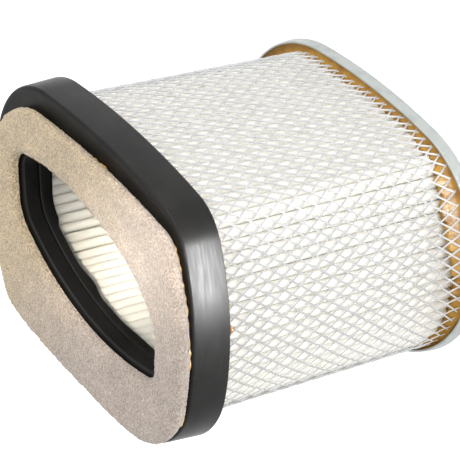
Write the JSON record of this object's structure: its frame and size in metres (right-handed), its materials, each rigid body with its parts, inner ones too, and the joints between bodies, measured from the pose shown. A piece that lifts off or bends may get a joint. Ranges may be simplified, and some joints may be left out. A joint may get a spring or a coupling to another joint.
{
  "type": "oval air filter element",
  "caption": "Pleated paper air filter element in a white expanded-metal screen, with a black moulded end frame, foam gasket and metal end pan.",
  "frame": {"origin": "on the filter axis, at the underside of the metal end pan (bottom centre of the bounding box)", "axes": "+Z along the filter axis from the closed pan to the foam gasket's sealing face, +X along the long axis of the rounded section, +Y along its short axis"},
  "size_m": [0.1489, 0.1186, 0.1315],
  "materials": {
    "frame": "satin black moulding",
    "sealant": "cast sealant",
    "foam": "open-cell foam",
    "adhesive": "dried contact adhesive",
    "paper": "filter paper",
    "screen": "white coated expanded steel",
    "plastisol": "amber cured plastisol",
    "pan": "dull galvanised sheet"
  },
  "bodies": {
    "root": {"end_frame": "frame", "throat_sleeve": "frame", "foam_gasket": "foam", "gasket_adhesive": "adhesive", "front_potting": "sealant", "potting_bead": "plastisol", "outer_screen": "screen", "pleated_paper": "paper", "paper_seam": "adhesive", "rear_plastisol": "plastisol", "end_pan": "pan"}
  },
  "joints": []
}
